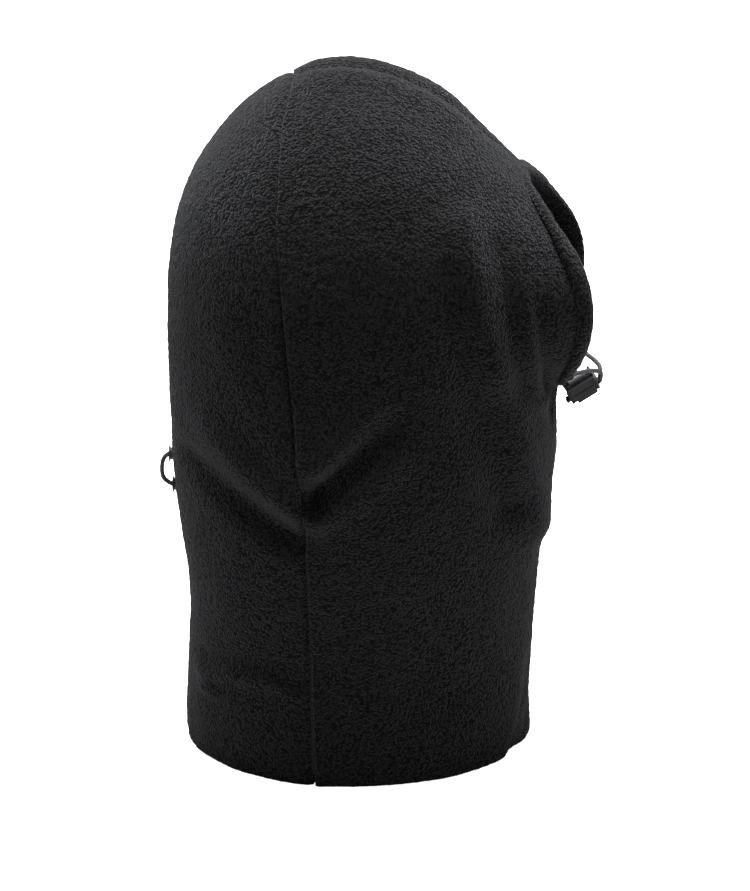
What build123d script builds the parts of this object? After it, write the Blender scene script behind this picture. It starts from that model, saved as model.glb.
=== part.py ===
"""A fleece balaclava with a drawcord face opening, a nape cinch cord and a chin cord lock.

Millimetres. +Z is up, the face opening looks along -Y, the wearer's right side is -X and the
hem stands on Z = 0. The pieces are drawn with Y measured from the middle of the head, and are
written with the origin under the middle of the whole object, lock and cord loop included.
Every cloth piece is a closed solid as thick as the fleece, with a small gap to its neighbours
where the seam thread lies.
"""

from build123d import *
from math import cos, pi, sin, sqrt
import os

# ---------------------------------------------------------------- driving dimensions
HOOD_HEIGHT = 366.0  # hem to crown
HEAD_HALF_WIDTH = 79.0  # widest, at the ears
HEAD_BACK = 92.0  # from the widest line to the back of the head
HEAD_FRONT = 102.0  # the same to the forehead
WIDEST_Y = 6.0  # where the hood is widest
DOME_START = 246.0  # height at which the crown starts to close
FLEECE = 2.8  # cloth thickness
SEAM_GAP = 1.0  # between neighbouring panels
THREAD = 0.6  # width of a line of stitches

FACE_TOP = 312.0  # brow
FACE_BOTTOM = 201.0  # chin
FACE_HALF_WIDTH = 52.0
FACE_REACH = -114.0  # furthest forward point of the opening's edge
FACE_REACH_Z = 245.0
BROW_SET_BACK = 25.0  # how far the brow lies behind that point
CHIN_SET_BACK = 11.0

CASING_R = 4.0  # rolled drawcord casing around the face
CASING_BORE_R = 2.4
CORD_R = 1.2  # shock cord
PLAY = 0.3  # clearance between soft pieces that don't move on each other

HEM_DEPTH = 22.0  # turned-up facing inside the neck edge
HEM_FACING = 1.8

NAPE_Z = 147.5  # height of the nape channel's middle
NAPE_LOOP_R = 8.5  # half the height of the cord loop that stands out at the back
NAPE_TAPE = 1.0  # wall of the channel tape

# Neck as (half width, back, front) at the hem, at its narrowest and under the jaw.
HEM = (75.0, 87.0, 97.0)
NECK = (71.0, 84.0, 99.5)
JAW = (79.0, 92.0, 110.0)
NECK_Z = 66.0
JAW_Z = 181.0
NECK_HEIGHTS = [15.0 * i for i in range(13)]
FACE_HEIGHTS = [FACE_BOTTOM + (FACE_TOP - FACE_BOTTOM) * i / 8 for i in range(9)]
CROWN_HEIGHTS = [324.0, 335.0, 345.0, 353.0, 359.0, 363.0, 365.3]

# Side seam as (distance behind the origin, height), from the hem to the crown.
SIDE_SEAM = [(21, -14), (23, 76), (26, 146), (33, 227), (39, 296), (37, 341), (28, 371)]

# Cord lock: where its bar sits in front of the chin and how it hangs.
BAR = Vector(0, -113.0, 198.5)
LOCK_UP = Vector(0, 0.56, 0.83)  # from the button towards the bar
LOCK = Plane(origin=BAR, x_dir=(1, 0, 0), z_dir=LOCK_UP)  # local Y runs back and down
BAR_R = 1.1
LOOP_BORE_R = 1.17  # webbing loop round the bar, a running fit
LOOP_R = 2.05
WEBBING = 1.6  # two layers of ribbon
WEBBING_WIDTH = 9.6
LOCK_LENGTH = 14.0
LOCK_WIDTH = 12.0
END_PLATE = 1.2
BLOCK_TOP = -2.4  # the block's top face, measured from the bar's axis
BLOCK_DEPTH = 6.5
ROOF = 0.8
BUTTON_LENGTH = 11.6
BUTTON_WIDTH = 8.4
BUTTON_TRAVEL = 2.0
BUTTON_FIT = 0.05  # sliding clearance each side
BRIDGE = 0.6  # button wall over the cords
LUG = (5.0, 1.9)  # end lugs that hold the bar: width, and height over its axis
GRIP_GROOVE = (0.9, 3.0, 1.0)  # depth, length it leaves plain, height
CORD_FIT = 0.05
CORD_SPACING = 1.7  # each cord's distance from the middle of the lock
CORD_TAIL = 1.5  # how far the cut ends stand out at the back

BUTTON_TOP = BLOCK_TOP - ROOF - 0.1 - BUTTON_TRAVEL
CORD_LINE = BUTTON_TOP - BRIDGE - CORD_R - CORD_FIT  # the cords' axis
WINDOW_LOW = CORD_LINE - CORD_R - CORD_FIT - BUTTON_TRAVEL
BUTTON_LOW = WINDOW_LOW - BRIDGE
LOCK_END = LOCK_LENGTH / 2 + END_PLATE

EYELET_R = 3.2  # outside of the tubes the cords pass through
EYELET_BORE_R = 2.4
FACE_EDGE = 5.3  # from the opening's edge back to the panels
BROW_EDGE = (-79.0, FACE_TOP + FACE_EDGE)
CHIN_EDGE = (-98.0, FACE_BOTTOM - FACE_EDGE)
MIDDLE_Y = -11.3  # middle of the whole object, measured from the middle of the head
FAR = 200.0  # well outside the hood
BELOW = 20.0  # well under the hem

os.makedirs("parts", exist_ok=True)


def write(piece, name):
    """Save a piece as a STEP file, moved so that the object's middle is over the origin."""
    placed = piece.part.moved(Location((0, -MIDDLE_Y, 0)))
    placed.label = name
    export_step(placed, f"parts/{name}.step")


# ---------------------------------------------------------------- the hood's form
def dome(z):
    """How much of the full section is left at height z, following an ellipse to the crown."""
    rise = max(0.0, (z - DOME_START) / (HOOD_HEIGHT - DOME_START))
    return sqrt(1 - rise * rise)


def rim_y(z):
    """Y of the face opening's edge at height z: two parabolas with their tips at the cheek."""
    if z > FACE_REACH_Z:
        return FACE_REACH + BROW_SET_BACK * ((z - FACE_REACH_Z) / (FACE_TOP - FACE_REACH_Z)) ** 2
    return FACE_REACH + CHIN_SET_BACK * ((FACE_REACH_Z - z) / (FACE_REACH_Z - FACE_BOTTOM)) ** 2


def rim_x(z):
    """Half width of the face opening at height z, an ellipse from chin to brow."""
    middle = (FACE_TOP + FACE_BOTTOM) / 2
    half = (FACE_TOP - FACE_BOTTOM) / 2
    return FACE_HALF_WIDTH * sqrt(max(0.0, 1 - ((z - middle) / half) ** 2))


def rim_point(turn):
    """Point on the opening's edge; turn 0 is the brow, 0.5 the chin, 0.25 the wearer's left."""
    middle = (FACE_TOP + FACE_BOTTOM) / 2
    half = (FACE_TOP - FACE_BOTTOM) / 2
    z = middle + half * cos(2 * pi * turn)
    return Vector(FACE_HALF_WIDTH * sin(2 * pi * turn), rim_y(z), z)


def face_section(z):
    """Section whose side passes through the opening's edge, so that the edge lies on the form."""
    width = HEAD_HALF_WIDTH * dome(z)
    reach = WIDEST_Y - rim_y(z)
    return (z, width, HEAD_BACK * dome(z), reach / sqrt(1 - (rim_x(z) / width) ** 2))


def crown_section(z):
    return (z, HEAD_HALF_WIDTH * dome(z), HEAD_BACK * dome(z), HEAD_FRONT * dome(z))


def ease(share, start, end):
    """Soft step from start to end as share goes from 0 to 1."""
    return start + (end - start) * (1 - cos(pi * min(1.0, max(0.0, share)))) / 2


def neck_section(z, inset=0.0):
    """Half width, back and front of the neck at height z, moved in by inset."""
    if z < NECK_Z:
        return [ease(z / NECK_Z, a, b) - inset for a, b in zip(HEM, NECK)]
    return [ease((z - NECK_Z) / (JAW_Z - NECK_Z), a, b) - inset for a, b in zip(NECK, JAW)]


SECTIONS = [(z, *neck_section(z)) for z in NECK_HEIGHTS]
SECTIONS += [face_section(z) for z in FACE_HEIGHTS]
SECTIONS += [crown_section(z) for z in CROWN_HEIGHTS]


def oval(z, width, back, front):
    """Two half ellipses that meet at the widest line, as a face at height z."""
    with BuildSketch(Plane.XY.offset(z)) as face:
        with BuildLine():
            EllipticalCenterArc((0, WIDEST_Y), width, back, start_angle=0, arc_size=180)
            EllipticalCenterArc((0, WIDEST_Y), width, front, start_angle=180, arc_size=180)
        make_face()
    return face.sketch


def hood_form(inset):
    """Solid shape of the hood, its surface moved in by inset; the inner form opens downwards."""
    with BuildPart() as form:
        loft([oval(z - inset, w - inset, b - inset, f - inset) for z, w, b, f in SECTIONS])
    return form.part


def neck_ring(low, high, outer_inset, inner_inset):
    """Ring that follows the inside of the neck between two heights."""
    with BuildPart() as ring:
        loft([oval(z, *neck_section(z, outer_inset)) for z in (low, high)])
        loft([oval(z, *neck_section(z, inner_inset)) for z in (low, high)], mode=Mode.SUBTRACT)
    return ring.part


def behind_seam(shift):
    """Everything behind the side seams, the seam's curve moved back by shift."""
    with BuildPart() as region:
        with BuildSketch(Plane.YZ):
            with BuildLine():
                seam = Spline([(y + shift, z) for y, z in SIDE_SEAM])
                Polyline(seam @ 1, (FAR, 2 * FAR), (FAR, -BELOW), seam @ 0)
            make_face()
        extrude(amount=FAR, both=True)
    return region.part


def before_face():
    """Everything in front of the cloth's edge around the face, which lies behind the casing."""
    with BuildPart() as region:
        with BuildSketch(Plane.YZ):
            with BuildLine():
                cheek = [(rim_y(z) + FACE_EDGE, z) for z in FACE_HEIGHTS[1:-1]]
                edge = Spline([CHIN_EDGE] + cheek + [BROW_EDGE])
                Polyline(edge @ 1, (-FAR, BROW_EDGE[1]), (-FAR, CHIN_EDGE[1]), edge @ 0)
            make_face()
        extrude(amount=FAR, both=True)
    return region.part


def block(low, high):
    """Box between two corners."""
    with BuildPart() as solid:
        with Locations(((Vector(*low) + Vector(*high)) / 2)):
            Box(*(b - a for a, b in zip(low, high)))
    return solid.part


def rod_along(points, radius, bore=0.0):
    """Round rod through a row of points, or a tube if it has a bore."""
    with BuildPart() as rod:
        with BuildLine() as path:
            Spline(points)
        with BuildSketch(Plane(origin=path.line @ 0, z_dir=path.line % 0)):
            Circle(radius)
            if bore:
                Circle(bore, mode=Mode.SUBTRACT)
        sweep()
    return rod.part


def beside_rim(turn, distance):
    """Point at a distance behind the opening's edge, square to the way the edge runs."""
    along = (rim_point(turn + 0.001) - rim_point(turn - 0.001)).normalized()
    back = Vector(0, 1, 1.5 * cos(2 * pi * turn))
    return rim_point(turn) + (back - along * back.dot(along)).normalized() * distance


# ---------------------------------------------------------------- cloth panels
with BuildPart() as wall:
    add(hood_form(0))
    add(hood_form(FLEECE), mode=Mode.SUBTRACT)

NAPE_UPPER_Z = NAPE_Z + NAPE_LOOP_R
NAPE_LOWER_Z = NAPE_Z - NAPE_LOOP_R


def nape_back(z):
    """Y of the hood's outside at the middle of the nape."""
    return WIDEST_Y + neck_section(z, 0)[1]


def back_hole(z, radius):
    """Rod from inside to outside through the middle of the nape."""
    with BuildPart() as rod:
        with BuildSketch(Plane.XZ.offset(-nape_back(z) - 6)):
            with Locations((0, z)):
                Circle(radius)
        extrude(amount=14)
    return rod.part


with BuildPart() as back_panel:
    add(wall.part)
    add(behind_seam(SEAM_GAP / 2), mode=Mode.INTERSECT)
    add(back_hole(NAPE_UPPER_Z, EYELET_R + PLAY), mode=Mode.SUBTRACT)
    add(back_hole(NAPE_LOWER_Z, EYELET_R + PLAY), mode=Mode.SUBTRACT)
write(back_panel, "back_panel")

with BuildPart() as front_half:
    add(wall.part)
    add(behind_seam(-SEAM_GAP / 2), mode=Mode.SUBTRACT)
    add(before_face(), mode=Mode.SUBTRACT)

with BuildPart() as right_side_panel:
    add(front_half.part)
    add(block((-FAR, -FAR, -BELOW), (-SEAM_GAP / 2, FAR, 2 * FAR)), mode=Mode.INTERSECT)
write(right_side_panel, "right_side_panel")

with BuildPart() as left_side_panel:
    add(front_half.part)
    add(block((SEAM_GAP / 2, -FAR, -BELOW), (FAR, FAR, 2 * FAR)), mode=Mode.INTERSECT)
write(left_side_panel, "left_side_panel")

# ---------------------------------------------------------------- seam threads
CROWN_HALF = 14.0  # half width of the back panel's end at the crown

with BuildPart() as side_seams:
    add(wall.part)
    add(behind_seam(-THREAD / 2), mode=Mode.INTERSECT)
    add(behind_seam(THREAD / 2), mode=Mode.SUBTRACT)

with BuildPart() as right_side_seam:
    add(side_seams.part)
    add(block((-FAR, -FAR, 1), (-CROWN_HALF, FAR, 2 * FAR)), mode=Mode.INTERSECT)
write(right_side_seam, "right_side_seam")

with BuildPart() as left_side_seam:
    add(side_seams.part)
    add(block((CROWN_HALF, -FAR, 1), (FAR, FAR, 2 * FAR)), mode=Mode.INTERSECT)
write(left_side_seam, "left_side_seam")

with BuildPart() as crown_cross_seam:
    add(side_seams.part)
    cross = block((PLAY - CROWN_HALF, -FAR, FACE_TOP), (CROWN_HALF - PLAY, FAR, 2 * FAR))
    add(cross, mode=Mode.INTERSECT)
write(crown_cross_seam, "crown_cross_seam")

with BuildPart() as top_seam:
    with BuildSketch(Plane.YZ):
        with BuildLine():
            rise = HOOD_HEIGHT - DOME_START - FLEECE / 2
            crown = (WIDEST_Y, DOME_START)
            EllipticalCenterArc(crown, HEAD_FRONT - FLEECE / 2, rise, start_angle=90, arc_size=48)
            EllipticalCenterArc(crown, HEAD_BACK - FLEECE / 2, rise, start_angle=78, arc_size=12)
        trace(line_width=FLEECE - 4 * PLAY)
    extrude(amount=THREAD / 2, both=True)
write(top_seam, "top_seam")

with BuildPart() as front_seam:
    add(wall.part)
    add(block((-THREAD / 2, -FAR, 1), (THREAD / 2, 0, CHIN_EDGE[1])), mode=Mode.INTERSECT)
write(front_seam, "front_seam")

with BuildPart() as casing_seam:
    beside = CASING_R + PLAY + THREAD / 2
    add(rod_along([beside_rim(0.004 + 0.992 * i / 24, beside) for i in range(25)], THREAD / 2))
write(casing_seam, "casing_seam")

# ---------------------------------------------------------------- face cord and casing
CORD_EXIT = 0.41  # where the cord leaves the casing, as a turn from the brow
EYELET_LENGTH = 1.4


def lock_point(x, y, z):
    """A point given in the lock's own directions."""
    return LOCK.from_local_coords(Vector(x, y, z))


def cord_end(side):
    """The cord's way from its exit in the casing to the lock's mouth."""
    return [
        Vector(side * 20.0, -113.2, 208.3),
        Vector(side * 12.0, -119.6, 206.8),
        Vector(side * 5.5, -124.6, 203.6),
        lock_point(side * CORD_SPACING, -LOCK_END - 3 * PLAY, CORD_LINE + PLAY),
    ]


ROUND_THE_FACE = [rim_point(CORD_EXIT * (i / 12 - 1)) for i in range(25)]
CORD_POINTS = list(reversed(cord_end(-1))) + ROUND_THE_FACE + cord_end(1)

with BuildPart() as face_cord:
    add(rod_along(CORD_POINTS, CORD_R))
write(face_cord, "face_cord")

CASING_END = CORD_EXIT - 0.022
with BuildPart() as face_casing:
    add(rod_along([rim_point(CASING_END * (i / 12 - 1)) for i in range(25)], CASING_R, CASING_BORE_R))
write(face_casing, "face_casing")

with BuildPart() as chin_binding:
    start = CORD_EXIT + 0.02
    add(rod_along([rim_point(start + (1 - 2 * start) * i / 6) for i in range(7)], CASING_R))
write(chin_binding, "chin_binding")

with BuildPart() as casing_eyelets:
    for side in (-1, 1):
        exit_point = rim_point(side * CORD_EXIT)
        way = exit_point - rim_point(side * (CORD_EXIT - 0.01))
        with BuildSketch(Plane(origin=exit_point, z_dir=way)):
            Circle(EYELET_R)
            Circle(EYELET_BORE_R, mode=Mode.SUBTRACT)
        extrude(amount=EYELET_LENGTH / 2, both=True)
write(casing_eyelets, "casing_eyelets")

# ---------------------------------------------------------------- webbing tab
TAB_ROOT = [(-106.4, 197.4), (-104.0, 201.0), (-105.5, 205.5)]  # (y, z) where it is sewn in

with BuildPart() as webbing_tab:
    with BuildSketch(Plane.YZ):
        front = lock_point(0, -WEBBING_WIDTH / 2, 0)
        rear = lock_point(0, WEBBING_WIDTH / 2, 0)
        with BuildLine():
            Polyline((front.Y, front.Z), (rear.Y, rear.Z), *TAB_ROOT, close=True)
        make_face()
    extrude(amount=WEBBING / 2, both=True)
    with Locations(LOCK):
        Cylinder(LOOP_R, WEBBING_WIDTH, rotation=(90, 0, 0))
        Cylinder(LOOP_BORE_R, WEBBING_WIDTH + 4, rotation=(90, 0, 0), mode=Mode.SUBTRACT)
    with Locations(rim_point(0.5)):
        Cylinder(CASING_R + PLAY, 3 * WEBBING, rotation=(0, 90, 0), mode=Mode.SUBTRACT)
write(webbing_tab, "webbing_tab")

with BuildPart() as tab_bar_tacks:
    for side in (-1, 1):
        with Locations((side * (WEBBING / 2 + PLAY), -109.0, FACE_BOTTOM)):
            Box(0.4, 0.9, 5.0)
write(tab_bar_tacks, "tab_bar_tacks")

# ---------------------------------------------------------------- cord lock
BLOCK_LOW = BLOCK_TOP - BLOCK_DEPTH

with BuildPart() as lock_housing:
    with BuildSketch(LOCK.offset(BLOCK_LOW)):
        RectangleRounded(LOCK_WIDTH, LOCK_LENGTH + END_PLATE, 0.8)
    extrude(amount=BLOCK_DEPTH)
    for end in (-1, 1):
        with BuildSketch(LOCK.offset(BLOCK_LOW)):
            with Locations((0, end * (LOCK_END - END_PLATE / 2))):
                RectangleRounded(LOCK_WIDTH + 1.4, END_PLATE, 0.4)
        extrude(amount=BLOCK_DEPTH)
        with BuildSketch(LOCK.offset(BLOCK_TOP)):
            with Locations((0, end * (LOCK_END - END_PLATE / 2))):
                RectangleRounded(LUG[0], END_PLATE, 0.4)
        extrude(amount=LUG[1] - BLOCK_TOP)
    with Locations(LOCK):
        Cylinder(BAR_R, 2 * LOCK_END - END_PLATE, rotation=(90, 0, 0))
        for side in (-1, 1):
            with Locations((side * LOCK_WIDTH / 2, 0, BLOCK_TOP - BLOCK_DEPTH / 2)):
                groove, plain, height = GRIP_GROOVE
                Box(groove, LOCK_LENGTH - plain, height, mode=Mode.SUBTRACT)
            with Locations((side * CORD_SPACING, 0, CORD_LINE)):
                Cylinder(CORD_R + CORD_FIT, 3 * LOCK_LENGTH, rotation=(90, 0, 0), mode=Mode.SUBTRACT)
    with BuildSketch(LOCK.offset(BLOCK_TOP - ROOF)):
        Rectangle(BUTTON_WIDTH + 2 * BUTTON_FIT, BUTTON_LENGTH + 2 * BUTTON_FIT)
    extrude(amount=-BLOCK_DEPTH, mode=Mode.SUBTRACT)
write(lock_housing, "lock_housing")

with BuildPart() as lock_button:
    with BuildSketch(LOCK.offset(BUTTON_LOW)):
        RectangleRounded(BUTTON_WIDTH, BUTTON_LENGTH, 0.5)
    extrude(amount=BUTTON_TOP - BUTTON_LOW)
    fillet(lock_button.faces().sort_by(Axis(BAR, LOCK_UP))[0].edges(), 0.4)
    with Locations(LOCK):
        with Locations((0, 0, (WINDOW_LOW + BUTTON_TOP - BRIDGE) / 2)):
            Box(
                2 * (CORD_SPACING + CORD_R + CORD_FIT), 2 * BUTTON_LENGTH, BUTTON_TOP - BRIDGE - WINDOW_LOW,
                mode=Mode.SUBTRACT,
            )
write(lock_button, "lock_button")

SPRING_STEEL = 0.18
SPRING_LENGTH = 9.0
SPRING_FOOT = BUTTON_TOP + 0.06
SPRING_RISE = SPRING_FOOT + SPRING_STEEL
SPRING_CREST = BLOCK_TOP - ROOF - 0.06

with BuildPart() as lock_spring:
    with BuildSketch(Plane(origin=BAR, x_dir=LOCK.y_dir, z_dir=(1, 0, 0))):
        with BuildLine():
            reach = SPRING_LENGTH / 2
            ThreePointArc((-reach, SPRING_FOOT), (0, SPRING_CREST - SPRING_STEEL), (reach, SPRING_FOOT))
            Line((reach, SPRING_FOOT), (reach, SPRING_RISE))
            ThreePointArc((reach, SPRING_RISE), (0, SPRING_CREST), (-reach, SPRING_RISE))
            Line((-reach, SPRING_RISE), (-reach, SPRING_FOOT))
        make_face()
    extrude(amount=2.0, both=True)
write(lock_spring, "lock_spring")

with BuildPart() as lock_cord_ends:
    with Locations(LOCK):
        for side in (-1, 1):
            with Locations((side * CORD_SPACING, CORD_TAIL / 2, CORD_LINE)):
                Cylinder(CORD_R, 2 * LOCK_END + CORD_TAIL, rotation=(90, 0, 0))
write(lock_cord_ends, "lock_cord_ends")

with BuildPart() as cord_tips:
    with Locations(LOCK):
        for side in (-1, 1):
            with Locations((side * CORD_SPACING, LOCK_END + CORD_TAIL + 0.6, CORD_LINE)):
                Cylinder(CORD_R + 0.15, 1.1, rotation=(90, 0, 0))
write(cord_tips, "cord_tips")

# ---------------------------------------------------------------- nape channel and its cord
TAPE_INSET = FLEECE + 3 * PLAY
TUNNEL_DEPTH = 4.4
TAPE_HALF_HEIGHT = NAPE_LOOP_R + 5.5
CORD_INSET = TAPE_INSET + TUNNEL_DEPTH / 2

with BuildPart() as nape_channel:
    low = NAPE_Z - TAPE_HALF_HEIGHT
    high = NAPE_Z + TAPE_HALF_HEIGHT
    add(neck_ring(low, high, TAPE_INSET, TAPE_INSET + TUNNEL_DEPTH + NAPE_TAPE))
    add(neck_ring(low + 1.2, high - 1.2, TAPE_INSET - 1, TAPE_INSET + TUNNEL_DEPTH), mode=Mode.SUBTRACT)
    add(behind_seam(2 * SEAM_GAP), mode=Mode.INTERSECT)
write(nape_channel, "nape_channel")


def nape_point(angle, z):
    """Point on the cord's line inside the channel, angle from the wearer's left."""
    width, back, _ = neck_section(z, CORD_INSET)
    return Vector(width * cos(angle), WIDEST_Y + back * sin(angle), z)


def nape_run(side, z):
    """The cord from the side seam to the middle of the nape, on one side."""
    middle = pi / 2
    return [nape_point(middle - side * turn, z) for turn in (1.0, 0.75, 0.5, 0.25, 0.12)]


OUTSIDE = nape_back(NAPE_Z)
LOOP = [
    Vector(1.6, nape_back(NAPE_UPPER_Z) - CORD_INSET + 0.5, NAPE_UPPER_Z),
    Vector(0, nape_back(NAPE_UPPER_Z) + 1.0, NAPE_UPPER_Z),
    Vector(0, OUTSIDE + 5.2, NAPE_Z + NAPE_LOOP_R / 2),
    Vector(0, OUTSIDE + 5.2, NAPE_Z - NAPE_LOOP_R / 2),
    Vector(0, nape_back(NAPE_LOWER_Z) + 1.0, NAPE_LOWER_Z),
    Vector(-1.6, nape_back(NAPE_LOWER_Z) - CORD_INSET + 0.5, NAPE_LOWER_Z),
]

with BuildPart() as nape_cord:
    add(rod_along(nape_run(1, NAPE_UPPER_Z) + LOOP + nape_run(-1, NAPE_LOWER_Z)[::-1], CORD_R))
write(nape_cord, "nape_cord")

with BuildPart() as nape_eyelets:
    for z in (NAPE_UPPER_Z, NAPE_LOWER_Z):
        with Locations((0, nape_back(z) - FLEECE / 2, z)):
            Cylinder(EYELET_R, FLEECE + 1.6, rotation=(90, 0, 0))
        with Locations((0, nape_back(z) + 0.9, z)):
            Cylinder(EYELET_R + 1.0, 0.6, rotation=(90, 0, 0))
        with Locations((0, nape_back(z), z)):
            Cylinder(EYELET_BORE_R, 12, rotation=(90, 0, 0), mode=Mode.SUBTRACT)
write(nape_eyelets, "nape_eyelets")

with BuildPart() as nape_cord_tacks:
    for side, z in ((1, NAPE_UPPER_Z), (-1, NAPE_LOWER_Z)):
        ends = [nape_point(pi / 2 - side * turn, z) for turn in (1.01, 1.04)]
        with Locations(Plane(origin=ends[1], z_dir=ends[1] - ends[0])):
            Cylinder(CORD_R + 0.5, 3.0)
write(nape_cord_tacks, "nape_cord_tacks")

with BuildPart() as nape_stitches:
    for z in (low + 0.6, high - 0.6):
        inside = TAPE_INSET + TUNNEL_DEPTH + NAPE_TAPE
        add(neck_ring(z - 0.3, z + 0.3, inside + 0.1, inside + 0.5))
    add(behind_seam(3 * SEAM_GAP), mode=Mode.INTERSECT)
write(nape_stitches, "nape_stitches")

# ---------------------------------------------------------------- hem and label
HEM_INSET = FLEECE + 2 * PLAY

with BuildPart() as hem_facing:
    add(neck_ring(0.6, HEM_DEPTH, HEM_INSET, HEM_INSET + HEM_FACING))
write(hem_facing, "hem_facing")

with BuildPart() as hem_stitches:
    row = HEM_DEPTH - 3.4
    inside = HEM_INSET + HEM_FACING
    add(neck_ring(row, row + THREAD, inside + PLAY, inside + 3 * PLAY))
write(hem_stitches, "hem_stitches")

LABEL = (24.0, 0.4, 18.0)  # blank, width, thickness, height
LABEL_Z = 38.0

with BuildPart() as care_label:
    with Locations((0, nape_back(LABEL_Z) - FLEECE - 2.4, LABEL_Z)):
        Box(*LABEL)
write(care_label, "care_label")

with BuildPart() as label_stitches:
    with Locations((0, nape_back(LABEL_Z) - FLEECE - 2.9, LABEL_Z + LABEL[2] / 2 - 1.5)):
        Box(LABEL[0] - 3, 0.4, 0.6)
write(label_stitches, "label_stitches")
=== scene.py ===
"""Fleece balaclava: the visual model, in the same frame as the CAD.

Lengths are in millimetres until a mesh is made, and then in metres. The hood is built as three
curved sheets of fleece on the CAD's form, with folds, pile and rolled edges. The casing, hem,
cords, tape, stitches and leaf spring are built here too; the cord lock, the webbing tab, the
eyelets and the label are the CAD's own solids.
"""

from math import cos, pi, radians, sin, sqrt

import bpy
import numpy as np
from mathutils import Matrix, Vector, noise


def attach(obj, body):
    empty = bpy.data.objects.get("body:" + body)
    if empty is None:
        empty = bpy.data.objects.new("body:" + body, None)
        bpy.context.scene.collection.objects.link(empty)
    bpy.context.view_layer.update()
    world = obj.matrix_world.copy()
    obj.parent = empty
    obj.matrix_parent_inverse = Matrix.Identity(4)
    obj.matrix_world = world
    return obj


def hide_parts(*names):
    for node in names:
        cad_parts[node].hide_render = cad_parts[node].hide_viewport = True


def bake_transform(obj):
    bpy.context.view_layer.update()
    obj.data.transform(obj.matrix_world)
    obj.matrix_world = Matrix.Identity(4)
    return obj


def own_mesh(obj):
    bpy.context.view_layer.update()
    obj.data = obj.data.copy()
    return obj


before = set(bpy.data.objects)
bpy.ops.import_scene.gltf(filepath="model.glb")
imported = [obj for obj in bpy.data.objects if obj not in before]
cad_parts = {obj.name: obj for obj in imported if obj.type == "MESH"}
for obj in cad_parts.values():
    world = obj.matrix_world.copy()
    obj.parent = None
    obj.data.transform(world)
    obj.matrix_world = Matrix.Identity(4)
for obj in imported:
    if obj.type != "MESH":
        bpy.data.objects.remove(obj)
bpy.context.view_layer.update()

MM = 0.001
HEAD_Y = 11.3  # the form is drawn from the middle of the head, which lies this far behind the origin


def placed(point):
    """A point of the form, in metres in the CAD's frame."""
    return [point[0] * MM, (point[1] + HEAD_Y) * MM, point[2] * MM]


# ---------------------------------------------------------------- the hood's form
CROWN_Z = 363.0
DOME_START = 246.0  # height at which the crown starts to close
HEAD_HALF_WIDTH = 79.0
HEAD_FRONT = 102.0
WIDEST_Y = 6.0  # where the hood is widest
HEM = (75.0, 87.0, 99.0)  # half width, back, front
NECK = (71.0, 84.5, 101.5)
JAW = (79.0, 92.0, 112.0)
NECK_Z = 66.0
JAW_Z = 181.0
FACE_TOP = 308.0
FACE_BOTTOM = 201.0
FACE_MIDDLE = (FACE_TOP + FACE_BOTTOM) / 2
FACE_HALF_HEIGHT = (FACE_TOP - FACE_BOTTOM) / 2
FACE_HALF_WIDTH = 52.0
FACE_REACH, FACE_REACH_Z = -114.0, 245.0  # furthest forward point of the opening's edge
BROW_SET_BACK, CHIN_SET_BACK = 31.0, 11.0  # how far brow and chin lie behind it
BROW_BULGE, BROW_BULGE_HEIGHT = 10.0, 20.0  # extra reach over the brow, and where it has gone
FLEECE = 2.8  # cloth thickness
GRID = 1.15  # mesh spacing on the cloth
SHEET_INSET = 1.4  # the resting cloth lies this far inside the form, which its folds reach
LOCK_REACH, LOCK_REST_Z = 14.0, 190.0  # the cloth is hollow here, where the swinging lock comes past
CROWN_SEAM_Z = 337.0  # above this the side seams run into the cross seam
FLOOR_GAP = 0.4  # the pile's tips hold the hem this far off the floor
# The side seam's way as (height, distance behind the middle), from the hem to the crown.
SEAM_Y = ((-14, 21), (76, 23), (146, 26), (227, 33), (296, 39), (341, 37), (371, 28))


def smooth(t):
    """Soft step from 0 to 1."""
    t = np.clip(t, 0.0, 1.0)
    return t * t * (3 - 2 * t)


def ease(t, a, b):
    """Cosine step from a to b as t goes from 0 to 1."""
    return a + (b - a) * (1 - np.cos(pi * np.clip(t, 0, 1))) / 2


def dome(z):
    """How much of the full section is left at height z, following an ellipse to the crown."""
    rise = np.clip((z - DOME_START) / (CROWN_Z - DOME_START), 0, 1)
    return np.sqrt(np.maximum(1 - rise * rise, 1e-6))


def rim_y(z):
    """Y of the opening's edge at height z: two parabolas with their tips at the cheek."""
    above = BROW_SET_BACK * ((z - FACE_REACH_Z) / (FACE_TOP - FACE_REACH_Z)) ** 2
    below = CHIN_SET_BACK * ((FACE_REACH_Z - z) / (FACE_REACH_Z - FACE_BOTTOM)) ** 2
    return FACE_REACH + np.where(z > FACE_REACH_Z, above, below)


def rim_x(z):
    """Half width of the face opening at height z."""
    share = (z - FACE_MIDDLE) / FACE_HALF_HEIGHT
    return FACE_HALF_WIDTH * np.sqrt(np.maximum(0.0, 1 - share * share))


def exact_section(z):
    """Half width, back and front reach of the hood at heights z."""
    z = np.asarray(z, float)
    low = [ease(z / NECK_Z, a, b) for a, b in zip(HEM, NECK)]
    high = [ease((z - NECK_Z) / (JAW_Z - NECK_Z), a, b) for a, b in zip(NECK, JAW)]
    width, back, front = [np.where(z < NECK_Z, a, b) for a, b in zip(low, high)]
    width = width * dome(z)
    back = back * dome(z)
    inside = np.clip(z, FACE_BOTTOM, FACE_TOP)
    across = rim_x(inside) / (HEAD_HALF_WIDTH * dome(inside))
    face = (WIDEST_Y - rim_y(inside)) / np.sqrt(1 - across**2)
    bulge = 1 - smooth((z - FACE_TOP) / BROW_BULGE_HEIGHT)
    crown = HEAD_FRONT * dome(z) + BROW_BULGE * bulge * (z >= FACE_TOP)
    front = np.where(z < FACE_BOTTOM, front, np.where(z <= FACE_TOP, face, crown))
    return width, back, front


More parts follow.
